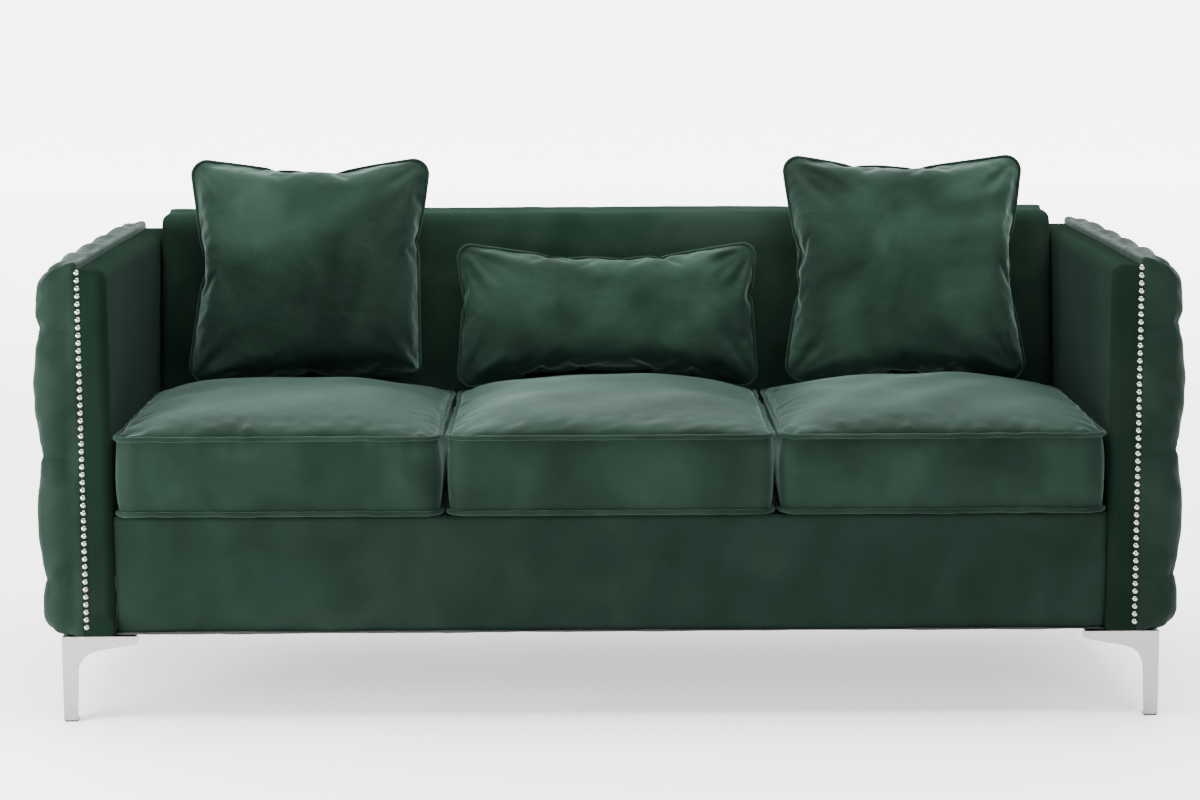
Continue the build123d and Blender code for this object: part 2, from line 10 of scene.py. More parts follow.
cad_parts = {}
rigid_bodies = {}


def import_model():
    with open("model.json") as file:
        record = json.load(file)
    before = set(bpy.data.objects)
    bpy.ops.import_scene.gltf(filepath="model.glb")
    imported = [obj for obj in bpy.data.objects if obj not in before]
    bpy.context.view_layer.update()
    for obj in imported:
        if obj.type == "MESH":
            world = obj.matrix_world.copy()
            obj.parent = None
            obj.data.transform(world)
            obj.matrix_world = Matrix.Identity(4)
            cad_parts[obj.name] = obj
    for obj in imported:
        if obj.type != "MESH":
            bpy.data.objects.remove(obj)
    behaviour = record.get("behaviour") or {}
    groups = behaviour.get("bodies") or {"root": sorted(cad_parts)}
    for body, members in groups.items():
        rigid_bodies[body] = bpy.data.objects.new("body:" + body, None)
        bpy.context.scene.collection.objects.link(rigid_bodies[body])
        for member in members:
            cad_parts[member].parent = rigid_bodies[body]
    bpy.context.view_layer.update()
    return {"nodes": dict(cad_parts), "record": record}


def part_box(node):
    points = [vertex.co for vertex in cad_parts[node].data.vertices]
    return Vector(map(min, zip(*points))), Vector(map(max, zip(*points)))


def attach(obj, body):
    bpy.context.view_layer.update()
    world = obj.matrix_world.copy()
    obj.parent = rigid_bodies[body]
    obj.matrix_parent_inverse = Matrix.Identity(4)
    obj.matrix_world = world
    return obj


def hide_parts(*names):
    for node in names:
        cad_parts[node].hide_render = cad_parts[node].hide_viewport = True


for leftover in list(bpy.data.objects):
    bpy.data.objects.remove(leftover)
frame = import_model()
NODES = frame["nodes"]
SEATS = ("left", "middle", "right")
MM = 0.001


# ---------------------------------------------------------------- mesh helpers
def new_mesh(name, verts, faces, material, smooth=True):
    """An object from an array of points and an array or list of faces."""
    mesh = bpy.data.meshes.new(name)
    mesh.from_pydata(np.asarray(verts).tolist(), [], [list(map(int, f)) for f in faces])
    mesh.update()
    mesh.validate()
    if smooth:
        mesh.polygons.foreach_set("use_smooth", [True] * len(mesh.polygons))
    obj = bpy.data.objects.new(name, mesh)
    bpy.context.scene.collection.objects.link(obj)
    obj.data.materials.append(material)
    return obj


def lattice(xs, ys, zs):
    """The surface of a box as quads: its points, its faces and the grid of point numbers."""
    shape = (len(xs), len(ys), len(zs))
    ids = np.full(shape, -1)
    skin = np.zeros(shape, bool)
    for axis in range(3):
        for end in (0, -1):
            skin[tuple(end if a == axis else slice(None) for a in range(3))] = True
    ids[skin] = np.arange(skin.sum())
    grid = np.stack(np.meshgrid(xs, ys, zs, indexing="ij"), -1)
    faces = []
    for axis in range(3):
        for end, flip in ((0, True), (-1, False)):
            side = ids[tuple(end if a == axis else slice(None) for a in range(3))]
            quad = np.stack([side[:-1, :-1], side[1:, :-1], side[1:, 1:], side[:-1, 1:]], -1).reshape(-1, 4)
            if flip != (axis == 1):
                quad = quad[:, ::-1]
            faces.append(quad)
    return grid[skin], np.concatenate(faces), ids


def spread(low, high, step):
    return np.linspace(low, high, max(2, int(round((high - low) / step)) + 1))


def rounded(points, low, high, radius):
    """Points of a sharp box moved onto the box with rounded edges, and the way each one faces."""
    low, high = np.array(low, float), np.array(high, float)
    core = np.clip(points, low + radius, high - radius)
    away = points - core
    length = np.linalg.norm(away, axis=1, keepdims=True)
    normal = away / np.maximum(length, 1e-9)
    return core + normal * radius, normal


def waves(points, length, seed, count=14):
    """Smooth seeded noise from about -1 to 1, with bumps about length apart."""
    rng = np.random.default_rng(seed)
    total = np.zeros(len(points))
    for _ in range(count):
        way = rng.normal(size=points.shape[1])
        way /= np.linalg.norm(way)
        total += np.sin(points @ way * 2 * pi / (length * rng.uniform(0.7, 1.5)) + rng.uniform(0, 2 * pi))
    return total / np.sqrt(count / 2) / 1.6


def tube(name, path, radius, material, sides=10):
    """A closed round tube along a loop of points."""
    path = np.asarray(path, float)
    along = np.roll(path, -1, 0) - np.roll(path, 1, 0)
    along /= np.linalg.norm(along, axis=1, keepdims=True)
    out = path - path.mean(0)
    out -= (out * along).sum(1, keepdims=True) * along
    out /= np.linalg.norm(out, axis=1, keepdims=True)
    up = np.cross(along, out)
    turn = np.arange(sides) * 2 * pi / sides
    outward = np.cos(turn)[None, :, None] * out[:, None]
    upward = np.sin(turn)[None, :, None] * up[:, None]
    ring = path[:, None] + radius * (outward + upward)
    count = len(path)
    i, j = np.meshgrid(np.arange(count), np.arange(sides), indexing="ij")
    ni, nj = (i + 1) % count, (j + 1) % sides
    faces = np.stack([i * sides + j, ni * sides + j, ni * sides + nj, i * sides + nj], -1).reshape(-1, 4)
    return new_mesh(name, ring.reshape(-1, 3), faces, material)


def loop_points(verts, ids, layer):
    """The points round the box surface's grid at one height."""
    x, y = ids.shape[0] - 1, ids.shape[1] - 1
    walk = [ids[i, 0, layer] for i in range(x)] + [ids[x, j, layer] for j in range(y)]
    walk += [ids[i, y, layer] for i in range(x, 0, -1)] + [ids[0, j, layer] for j in range(y, 0, -1)]
    return verts[walk]


# ---------------------------------------------------------------- materials
def shader(name, **sockets):
    material = bpy.data.materials.new(name)
    material.use_nodes = True
    tree = material.node_tree
    bsdf = tree.nodes["Principled BSDF"]
    for socket, value in sockets.items():
        bsdf.inputs[socket.replace("_", " ")].default_value = value
    return material, tree, bsdf


def link(tree, *pairs):
    for source, target in pairs:
        tree.links.new(source, target)


def noise_node(tree, scale, detail=2.0, distortion=0.0, stretch=None):
    coords = tree.nodes.new("ShaderNodeTexCoord")
    texture = tree.nodes.new("ShaderNodeTexNoise")
    texture.inputs["Scale"].default_value = scale
    texture.inputs["Detail"].default_value = detail
    texture.inputs["Distortion"].default_value = distortion
    source = coords.outputs["Object"]
    if stretch:
        mapping = tree.nodes.new("ShaderNodeMapping")
        mapping.inputs["Scale"].default_value = stretch
        link(tree, (source, mapping.inputs["Vector"]))
        source = mapping.outputs["Vector"]
    link(tree, (source, texture.inputs["Vector"]))
    return texture.outputs["Fac"]


def ramp(tree, source, stops):
    node = tree.nodes.new("ShaderNodeValToRGB")
    elements = node.color_ramp.elements
    while len(elements) < len(stops):
        elements.new(0.5)
    for element, (place, colour) in zip(elements, stops):
        element.position = place
        element.color = (*colour, 1)
    link(tree, (source, node.inputs["Fac"]))
    return node.outputs["Color"]


def bump(tree, bsdf, layers):
    """Stacked bumps from (height source, strength, distance)."""
    normal = None
    for source, strength, distance in layers:
        node = tree.nodes.new("ShaderNodeBump")
        node.inputs["Strength"].default_value = strength
        node.inputs["Distance"].default_value = distance
        link(tree, (source, node.inputs["Height"]))
        if normal:
            link(tree, (normal, node.inputs["Normal"]))
        normal = node.outputs["Normal"]
    link(tree, (normal, bsdf.inputs["Normal"]))


NAP_DARK = (0.0046, 0.0140, 0.0090)
NAP_MIDDLE = (0.0070, 0.0200, 0.0134)
NAP_PALE = (0.0118, 0.0290, 0.0205)
SHEEN_TINT = (0.55, 0.85, 0.74, 1)


def velvet(name, light=1.0, sheen=0.22, crush=1.0, gloss=0.04, patch=8.0, contrast=1.0, red=1.12):
    """Short dense pile: nap patches in the colour, soft sheen at grazing angles, fine pile bump.

    light scales the colour, painting each part's copy lighter or darker for its light; crush the soft
    dents, patch the number of nap patches, contrast the step between them, and red how warm the green is.
    """
    material, tree, bsdf = shader(name, Sheen_Weight=sheen, Sheen_Roughness=0.38, Sheen_Tint=SHEEN_TINT)
    bsdf.inputs["Specular IOR Level"].default_value = gloss
    patches = noise_node(tree, patch, 3.0, 0.6)
    warm = (red, 1, 1)
    dark = [c * w * light / contrast for c, w in zip(NAP_DARK, warm)]
    middle = [c * w * light for c, w in zip(NAP_MIDDLE, warm)]
    pale = [c * w * light * contrast for c, w in zip(NAP_PALE, warm)]
    colour = ramp(tree, patches, [(0.32, dark), (0.50, middle), (0.72, pale)])
    link(tree, (colour, bsdf.inputs["Base Color"]))
    rough = tree.nodes.new("ShaderNodeMapRange")
    rough.inputs["To Min"].default_value = 0.52
    rough.inputs["To Max"].default_value = 0.78
    link(tree, (noise_node(tree, 34.0, 3.0, 0.6), rough.inputs["Value"]))
    link(tree, (rough.outputs["Result"], bsdf.inputs["Roughness"]))
    bump(
        tree,
        bsdf,
        [
            (noise_node(tree, 22.0, 3.0, 0.8), 0.22 * crush, 0.004),
            (noise_node(tree, 130.0, 2.0, 0.3), 0.10, 0.0008),
            (noise_node(tree, 1400.0, 1.0, 0.0), 0.25, 0.0003),
        ],
    )
    return material


def plain(name, colour, other, scale, rough, stretch=None, metallic=0.0, grain=0.1):
    """A two-tone noise material with a light bump, for lumber, lining, plastic and metal."""
    material, tree, bsdf = shader(name, Roughness=rough, Metallic=metallic)
    source = noise_node(tree, scale, 4.0, 0.4, stretch)
    link(tree, (ramp(tree, source, [(0.32, colour), (0.68, other)]), bsdf.inputs["Base Color"]))
    bump(tree, bsdf, [(source, grain, 0.0006)])
    return material


def chrome(name, colour, rough, stretch):
    material, tree, bsdf = shader(name, Metallic=1.0, Roughness=rough)
    tone = noise_node(tree, 40.0, 2.0, 0.2, stretch)
    darker = [c * 0.93 for c in colour]
    link(tree, (ramp(tree, tone, [(0.3, darker), (0.7, colour)]), bsdf.inputs["Base Color"]))
    smear = tree.nodes.new("ShaderNodeMapRange")
    smear.inputs["To Min"].default_value = rough * 0.8
    smear.inputs["To Max"].default_value = rough * 1.25
    link(tree, (tone, smear.inputs["Value"]), (smear.outputs["Result"], bsdf.inputs["Roughness"]))
    bump(tree, bsdf, [(tone, 0.03, 0.0002)])
    return material


# one velvet, copied per part: each copy after this first is painted lighter or darker, by its light and
# sheen, for the light that falls on that part
VELVET = velvet("velvet", light=0.66, sheen=0.055, contrast=0.85)
# inner arms: a darker copy with less sheen and no gloss, painted shade for their shaded inner faces
VELVET_ARM_SHADED = velvet("velvet_arm_shaded", light=0.50, sheen=0.022, gloss=0.0, contrast=0.8, red=1.25)
# back: a lighter copy with less sheen and no gloss, which paints the top edge of the back darker
VELVET_BACK = velvet("velvet_back", light=0.92, sheen=0.03, gloss=0.0, contrast=0.85, red=1.3)
# seat cushions: a lighter copy with four times the sheen, painted light that makes the cushion tops shine
VELVET_SEAT = velvet("velvet_seat", light=0.76, sheen=0.235, patch=7.0)
# pillows: a lighter copy with more sheen and stronger nap patches, painted light on the pillows
VELVET_SOFT = velvet("velvet_pillow", light=0.95, sheen=0.26, crush=3.0, patch=4.8, contrast=1.35)
# piping and zip tape: a copy with more sheen, a painted highlight along the piping
VELVET_PIPING = velvet("velvet_piping", light=0.7, sheen=0.16, crush=0.4)
WOOD = plain("lumber", (0.42, 0.27, 0.14), (0.60, 0.43, 0.25), 26.0, 0.65, (1, 9, 9))
PLYWOOD = plain("plywood", (0.48, 0.33, 0.19), (0.66, 0.50, 0.32), 20.0, 0.6, (9, 1, 1))
STEEL = plain("zinc_steel", (0.42, 0.42, 0.43), (0.62, 0.62, 0.64), 60.0, 0.35, None, 1.0, 0.03)
LINING = plain("black_lining", (0.012, 0.012, 0.013), (0.03, 0.03, 0.032), 420.0, 0.9, None, 0.0, 0.4)
GLIDE = plain("glide_plastic", (0.015, 0.015, 0.015), (0.03, 0.03, 0.03), 90.0, 0.5)
LEG_CHROME = chrome("leg_chrome", (0.31, 0.308, 0.295), 0.28, (1, 1, 12))
NAIL_CHROME = chrome("nail_chrome", (0.34, 0.34, 0.325), 0.16, (1, 1, 1))
ZIP_METAL = plain("zip_slider_paint", (0.05, 0.06, 0.055), (0.09, 0.10, 0.095), 80.0, 0.4, None, 0.6, 0.05)
FOAM = plain("foam", (0.72, 0.69, 0.55), (0.82, 0.79, 0.66), 300.0, 0.9)

SLOT_MATERIALS = {
    "velvet": VELVET,
    "lumber": WOOD,
    "plywood": PLYWOOD,
    "steel": STEEL,
    "lining": LINING,
    "padding": FOAM,
    "foam": FOAM,
    "fill": FOAM,
    "leg_chrome": LEG_CHROME,
    "glide": GLIDE,
    "nail_chrome": NAIL_CHROME,
    "zip_tape": VELVET_PIPING,
    "zip_metal": ZIP_METAL,
}
for part in frame["record"]["subparts"]:
    data = NODES[part["node"]].data
    data.materials.clear()
    data.materials.append(SLOT_MATERIALS[part["material_slot"]])


def place(obj, body, slot="velvet", replaces=(), fill=None):
    """Puts a finished piece on its body."""
    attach(obj, body)
    if replaces:
        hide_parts(*replaces)
    return obj


# ---------------------------------------------------------------- arms
ARM_ROW_Z = [z * MM for z in (243, 351, 459, 567, 675)]
ARM_WIDE_Y = [(n - 2) * 0.1645 + 0.0065 for n in range(5)]
ARM_NARROW_Y = [(n - 1.5) * 0.1645 + 0.0065 for n in range(4)]
ARM_FRONT_Y, ARM_REAR_Y, ARM_BOTTOM_Z = -0.405, 0.418, 0.150
PAD_LOW = np.array([0.8912, ARM_FRONT_Y, ARM_BOTTOM_Z])
PAD_HIGH = np.array([0.966, ARM_REAR_Y, 0.7885])
INNER_ARM_LOW = np.array([0.843, ARM_FRONT_Y, ARM_BOTTOM_Z])
INNER_ARM_HIGH = np.array([0.8950, ARM_REAR_Y, 0.776])
PAD_STEPS, INNER_ARM_STEPS = (0.006, 0.0052, 0.0052), (0.004, 0.008, 0.008)
TAPER_START_Z = 0.69


def pleat_lines():
    """Pleats between the buttons, and from the outer buttons over the pad's edges, as (y, z) pairs."""
    far = 0.2
    lines = []
    for row, z in enumerate(ARM_ROW_Z):
        wide = row % 2 == 0
        if row + 1 < len(ARM_ROW_Z):
            above = ARM_NARROW_Y if wide else ARM_WIDE_Y
            for y in ARM_WIDE_Y if wide else ARM_NARROW_Y:
                for other in above:
                    if abs(other - y) < 0.1:
                        lines.append(((y, z), (other, ARM_ROW_Z[row + 1])))
        if wide:
            lines.append(((ARM_WIDE_Y[0] - far, z), (ARM_WIDE_Y[0], z)))
            lines.append(((ARM_WIDE_Y[-1], z), (ARM_WIDE_Y[-1] + far, z)))
    for y in ARM_WIDE_Y:
        lines.append(((y, ARM_ROW_Z[-1]), (y, ARM_ROW_Z[-1] + far)))
        lines.append(((y, ARM_ROW_Z[0] - far), (y, ARM_ROW_Z[0])))
    return lines


def to_lines(points, lines):
    """Distance from each (y, z) point to the nearest of the lines."""
    best = np.full(len(points), 9.0)
    for start, end in lines:
        start, end = np.array(start), np.array(end)
        along = end - start
        t = np.clip(((points - start) @ along) / (along @ along), 0, 1)
        best = np.minimum(best, np.linalg.norm(points - start - t[:, None] * along, axis=1))
    return best


def tufted_pad(side):
    """The outer pad of an arm: diamonds between sunk buttons, with pleats run over its edges."""
    sign = -1 if side == "left" else 1
    low, high = PAD_LOW, PAD_HIGH
    points, faces, _ = lattice(*map(spread, low, high, PAD_STEPS))
    tight, tight_normal = rounded(points, low, high, 0.005)
    wide_on, wide_normal = rounded(points, low, high, 0.036)
    blend = np.clip((points[:, 0] - low[0]) / 0.034, 0, 1)[:, None] ** 1.5
    place_on = tight * (1 - blend) + wide_on * blend
    normal = tight_normal * (1 - blend) + wide_normal * blend
    normal /= np.maximum(np.linalg.norm(normal, axis=1, keepdims=True), 1e-9)
    # the pattern is laid out flat, with the edges of the pad folded out
    reach = high[0] - points[:, 0]
    flat = points[:, 1:].copy()
    for axis in (0, 1):
        on_low = np.isclose(points[:, axis + 1], low[axis + 1])
        on_high = np.isclose(points[:, axis + 1], high[axis + 1])
        flat[:, axis] += np.where(on_low, -reach, 0) + np.where(on_high, reach, 0)
    gap = to_lines(flat, pleat_lines())
    outside = np.maximum.reduce(
        [
            ARM_WIDE_Y[0] - flat[:, 0],
            flat[:, 0] - ARM_WIDE_Y[-1],
            ARM_ROW_Z[0] - flat[:, 1],
            flat[:, 1] - ARM_ROW_Z[-1],
        ]
    )
    width = 0.056 + 0.046 * np.clip(outside / 0.06, 0, 1)
    swell = np.sin(pi / 2 * np.clip(gap / width, 0, 1)) ** 1.35
    crease = 0.0011 * np.exp(-((gap / 0.0055) ** 2))
    buttons = [(y, z) for row, z in enumerate(ARM_ROW_Z) for y in (ARM_NARROW_Y if row % 2 else ARM_WIDE_Y)]
    near = np.min([np.hypot(flat[:, 0] - y, flat[:, 1] - z) for y, z in buttons], axis=0)
    on_face = np.clip(normal[:, 0], 0, 1)
    depth = 0.0105 * swell - 0.0050 - crease
    depth -= on_face * (0.016 * np.exp(-((near / 0.020) ** 2)) - 0.002)
    depth += 0.0012 * waves(flat, 0.05, 5)
    depth -= 0.0009 * waves(flat, 0.022, 6) * np.exp(-gap / 0.02)
    fade = np.clip((points[:, 0] - low[0]) / 0.022, 0.0, 1) ** 0.7
    place_on = place_on + normal * (depth * fade)[:, None]
    # the pad draws in towards its top and its foot
    across = np.clip((points[:, 0] - low[0]) / (high[0] - low[0]), 0, 1)
    near_top = np.clip((points[:, 2] - TAPER_START_Z) / (high[2] - TAPER_START_Z), 0, 1)
    near_foot = np.clip((low[2] + 0.05 - points[:, 2]) / 0.05, 0, 1)
    place_on[:, 0] -= 0.014 * across * near_top**1.6 + 0.005 * across * near_foot
    place_on[:, 2] -= 0.010 * across**2 * near_top
    place_on[:, 0] *= sign
    if sign < 0:
        faces = faces[:, ::-1]
    pad = new_mesh(f"{side}_arm_tufted_pad", place_on, faces, VELVET)
    place(pad, "sofa", replaces=(f"{side}_arm_outer_pad", f"{side}_arm_outer_cover"), fill=0.8)


def inner_arm(side):
    """The smooth inner part of an arm."""
    sign = -1 if side == "left" else 1
    low, high = INNER_ARM_LOW, INNER_ARM_HIGH
    points, faces, _ = lattice(*map(spread, low, high, INNER_ARM_STEPS))
    soft, soft_normal = rounded(points, low, high, 0.018)
    tight, tight_normal = rounded(points, low, high, 0.004)
    blend = np.clip((high[0] - points[:, 0]) / 0.02, 0, 1)[:, None]
    shape = soft * blend + tight * (1 - blend)
    normal = soft_normal * blend + tight_normal * (1 - blend)
    square = (points[:, 2] < low[2] + 0.03) | (points[:, 1] > high[1] - 0.04)
    shape[square], normal[square] = tight[square], tight_normal[square]
    shape = shape + normal * (0.0006 * waves(points, 0.30, 11))[:, None]
    shape[:, 0] *= sign
    if sign < 0:
        faces = faces[:, ::-1]
    # the darker velvet copy is painted shade on the inner arm
    piece = new_mesh(f"{side}_arm_inner_upholstery", shape, faces, VELVET_ARM_SHADED)
    place(piece, "sofa", replaces=(f"{side}_arm_inner_pad", f"{side}_arm_inner_cover"), fill=0.7)


# ---------------------------------------------------------------- back and front rail
BACK_FOOT_Y, BACK_LEAN, BACK_REAR_Y = 0.160, 0.224, 0.4158


def back_upholstery():
    """The leaning back, soft at the front edges and square at the rear, where the outside cloth meets it."""
    low, high = np.array([-0.8405, 0.0, 0.347]), np.array([0.8405, 0.1525, 0.8132])
    points, faces, _ = lattice(*(spread(low[a], high[a], 0.010) for a in range(3)))
    shape, normal = rounded(points, low, high, 0.017)
    tight, tight_normal = rounded(points, low, high, 0.002)
    through = (points[:, 1] - low[1]) / (high[1] - low[1])
    rear_part = np.clip(through * 3 - 1.6, 0, 1)[:, None]
    shape = shape * (1 - rear_part) + tight * rear_part
    normal = normal * (1 - rear_part) + tight_normal * rear_part
    puff = 0.0025 * np.cos(pi * shape[:, 0] / 1.75) * np.clip(-normal[:, 1], 0, 1)
    puff = puff + 0.0007 * waves(points, 0.20, 21) + 0.0003 * waves(points, 0.05, 22)
    shape = shape + normal * puff[:, None]
    face = BACK_FOOT_Y + BACK_LEAN * (shape[:, 2] - low[2])
    through = (shape[:, 1] - low[1]) / (high[1] - low[1])
    shape[:, 1] = face * (1 - through) + BACK_REAR_Y * through
    piece = new_mesh("back_upholstery", shape, faces, VELVET_BACK)
    place(piece, "sofa", replaces=("back_pad", "back_inner_cover"), fill=0.7)


def flat_cloth(
    name, low, high, step, seed, replaces, slot="velvet", material=VELVET, hem=None, soften=0.003, fill=None
):
    """A thin upholstered panel with softened edges, gentle waves and maybe a hem line near its foot."""
    low, high = np.array(low), np.array(high)
    steps = [step if width > 0.05 else 0.004 for width in high - low]
    points, faces, _ = lattice(*(spread(low[a], high[a], steps[a]) for a in range(3)))
    shape, normal = rounded(points, low, high, min(soften, (high - low).min() / 2.01))
    lift = 0.0008 * waves(points, 0.14, seed) + 0.0004 * waves(points, 0.045, seed + 1)
    if hem:
        lift -= 0.0022 * np.exp(-(((shape[:, 2] - hem) / 0.0028) ** 2)) * np.clip(-normal[:, 1], 0, 1)
    shape = shape + normal * lift[:, None]
    piece = new_mesh(name, shape, faces, material)
    return place(piece, "sofa", slot=slot, replaces=replaces, fill=fill)


# ---------------------------------------------------------------- seat cushions
CUSHION_LOW = np.array([-0.272, -0.410, 0.357])
CUSHION_HIGH = np.array([0.272, 0.150, 0.489])
CUSHION_CORNER = 0.034
CUSHION_BAND_MM, CUSHION_HALF_MM = 132, 272


def seat_cushion(seat, seed):
    """A box cushion with a crowned top, a swelling side band and piping round both edges."""
    box_low, box_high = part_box(f"{seat}_seat_cover")
    centre_x = (box_low.x + box_high.x) / 2
    low, high = CUSHION_LOW, CUSHION_HIGH
    middle = (low + high) / 2
    half = (high - low) / 2
    points, faces, ids = lattice(*(spread(low[a], high[a], 0.006) for a in range(3)))
    plan = points[:, :2]
    core = np.clip(plan, low[:2] + CUSHION_CORNER, high[:2] - CUSHION_CORNER)
    away = plan - core
    length = np.linalg.norm(away, axis=1)
    square = np.abs(away).max(1)
    shape = points.copy()
    shape[:, :2] = core + away * np.where(length > 1e-9, square / np.maximum(length, 1e-9), 0)[:, None]
    uv = (plan - middle[:2]) / half[:2]
    edge = np.abs(uv).max(1)
    wall = edge > 0.9999
    out = np.where(length[:, None] > 1e-9, away / np.maximum(length, 1e-9)[:, None], 0)
    rise = np.clip((points[:, 2] - low[2]) / (high[2] - low[2]), 0, 1)
    corner = np.abs(uv).min(1)
    # the side band swells, and pulls in between the corners
    swell = 0.0065 * np.clip(np.sin(pi * rise), 0, 1) ** 0.7 - 0.0035 * (1 - corner**4)
    pucker_field = waves(np.column_stack([shape[:, :2], np.zeros(len(shape))]), 0.030, seed)
    near_welt = np.exp(-(1 - rise) * CUSHION_BAND_MM / 16) + np.exp(-rise * CUSHION_BAND_MM / 16)
    swell = swell + 0.0018 * pucker_field * near_welt * np.sin(pi * np.clip(rise, 0.02, 0.98)) ** 0.25
    swell += 0.0012 * waves(shape, 0.12, seed + 3)
    # the rear band stays flat, so that the zip shows
    swell = np.minimum(swell, 0.0003 + 0.009 * np.clip((0.98 - out[:, 1]) / 0.3, 0, 1))
    shape[:, :2] += out * np.where(wall, swell, 0)[:, None]
    # the top is crowned, steep at the piping and flat in the middle
    top = rise > 0.9999
    u, v = np.clip(np.abs(uv), 0, 1).T
    crown = ((1 - u**2.8) * (1 - v**2.8)) ** 0.62
    lean = 1 + 0.05 * waves(uv, 1.6, seed + 4)
    dent = 0.0022 * waves(shape, 0.16, seed + 5) * np.clip(crown * 2, 0, 1)
    edge_mm = (1 - edge) * CUSHION_HALF_MM
    pleats = 0.0036 * pucker_field * np.exp(-edge_mm / 22) * (1 - np.exp(-edge_mm / 3))
    shape[:, 2] += np.where(top, 0.0535 * crown * lean + dent + pleats, 0)
    shape[:, 0] += centre_x
    cover = new_mesh(f"{seat}_seat_cushion", shape, faces, VELVET_SEAT)
    place(
        cover,
        f"{seat}_seat_cushion",
        replaces=(f"{seat}_seat_foam", f"{seat}_seat_cover", f"{seat}_seat_piping"),
        fill=0.85,
    )
    for label, layer, height in (("top", ids.shape[2] - 1, 0.0), ("bottom", 0, 0.0036)):
        loop = loop_points(shape, ids, layer)
        outward = loop_points(np.column_stack([out, np.zeros(len(out))]), ids, layer)
        loop = loop + outward * 0.0042 + np.array([0, 0, height])
        loop[:, 2] += 0.0006 * waves(loop[:, :2], 0.05, seed + 7)
        piping = tube(f"{seat}_seat_piping_{label}", loop, 0.0044, VELVET_PIPING)
        place(piping, f"{seat}_seat_cushion")


# ---------------------------------------------------------------- pillows
def flat_pillow(width, height, step, corner):
    """Two layers of cloth sewn round their edge: points, faces and the edge loop."""
    nx, ny = int(round(width / step)), int(round(height / step))
    xs, ys = (np.linspace(-size / 2, size / 2, n + 1) for size, n in ((width, nx), (height, ny)))
    points, faces, ids = lattice(xs, ys, np.array([-1.0, 1.0]))
    # the two layers share their edge points
    u, v = 2 * points[:, 0] / width, 2 * points[:, 1] / height
    rim = np.maximum(np.abs(u), np.abs(v)) > 0.9999
    merge = np.arange(len(points))
    for i in range(nx + 1):
        for j in range(ny + 1):
            if i in (0, nx) or j in (0, ny):
                merge[ids[i, j, 1]] = ids[i, j, 0]
    used = np.unique(merge)
    number = np.full(len(points), -1)
    number[used] = np.arange(len(used))
    faces = number[merge[faces]]
    faces = [f for f in faces if len(set(f.tolist())) == 4]
    side = np.where(rim, 0.0, points[:, 2])
    shape = points.copy()
    half = np.array([width / 2, height / 2])
    core = np.clip(points[:, :2], corner - half, half - corner)
    away = points[:, :2] - core
    length = np.linalg.norm(away, axis=1, keepdims=True)
    square = np.abs(away).max(1, keepdims=True)
    shape[:, :2] = core + away * np.where(length > 1e-9, square / np.maximum(length, 1e-9), 0)
    shape[:, 2] = side * 0.006 * (1 - u**6) * (1 - v**6) + side * 0.0008
    loop = [number[merge[k]] for k in edge_walk(ids)]
    return shape[used], faces, loop


def edge_walk(ids):
    """The grid's point numbers once round the pillow's edge."""
    x, y = ids.shape[0] - 1, ids.shape[1] - 1
    walk = [ids[i, 0, 0] for i in range(x)] + [ids[x, j, 0] for j in range(y)]
    return walk + [ids[i, y, 0] for i in range(x, 0, -1)] + [ids[0, j, 0] for j in range(y, 0, -1)]


CLOTH = {
    "quality": 5,
    "mass": 0.35,
    "tension_stiffness": 18,
    "compression_stiffness": 10,
    "shear_stiffness": 4,
    "bending_stiffness": 0.9,
    "tension_damping": 12,
    "compression_damping": 12,
    "shear_damping": 8,
    "air_damping": 2,
    "use_pressure": True,
    "uniform_pressure_force": 2.7,
}
SIM_FRAMES = 25


def inflate(points, faces, frames, seed):
    """Blows the sewn cloth up with Blender's cloth solver and returns the points."""
    obj = new_mesh("cloth_blank", points, faces, VELVET)
    jitter = 0.0006 * waves(points, 0.05, seed)
    for vertex, extra in zip(obj.data.vertices, jitter):
        vertex.co.z += extra
    cloth = obj.modifiers.new("Cloth", "CLOTH")
    settings = cloth.settings
    for setting, value in CLOTH.items():
        setattr(settings, setting, value)
    settings.effector_weights.gravity = 0
    cloth.point_cache.frame_end = frames
    for step in range(1, frames + 1):
        bpy.context.scene.frame_set(step)
    solved = bpy.data.meshes.new_from_object(obj.evaluated_get(bpy.context.evaluated_depsgraph_get()))
    result = np.zeros(len(points) * 3)
    solved.vertices.foreach_get("co", result)
    bpy.context.scene.frame_set(1)
    bpy.data.meshes.remove(solved)
    bpy.data.objects.remove(obj)
    return result.reshape(-1, 3)


def pillow_folds(shape, width, height, seed):
    """Folds that fan out from the corners, and puckers along the seam."""
    rng = np.random.default_rng(seed)
    fade = np.clip(np.abs(shape[:, 2]) / 0.012, 0, 1)
    total = np.zeros(len(shape))
    for sx in (-1, 1):
        for sy in (-1, 1):
            dx, dy = width / 2 - sx * shape[:, 0], height / 2 - sy * shape[:, 1]
            far, angle = np.hypot(dx, dy), np.arctan2(dy, dx)
            folds = np.sin(rng.uniform(8, 11) * angle + rng.uniform(0, 6))
            folds = folds + 0.6 * np.sin(19 * angle + rng.uniform(0, 6))
            total += rng.uniform(0.0026, 0.0040) * folds * np.exp(-(((far - 0.062) / 0.040) ** 2))
    seam = np.minimum(width / 2 - np.abs(shape[:, 0]), height / 2 - np.abs(shape[:, 1]))
    total += 0.0024 * waves(shape[:, :2], 0.026, seed + 1) * np.exp(-np.clip(seam, 0, 1) / 0.022)
    total += 0.0020 * waves(shape[:, :2], 0.11, seed + 2)
    return total * fade


LEAN = radians(15)
CUT = 1.045  # cut size over finished size


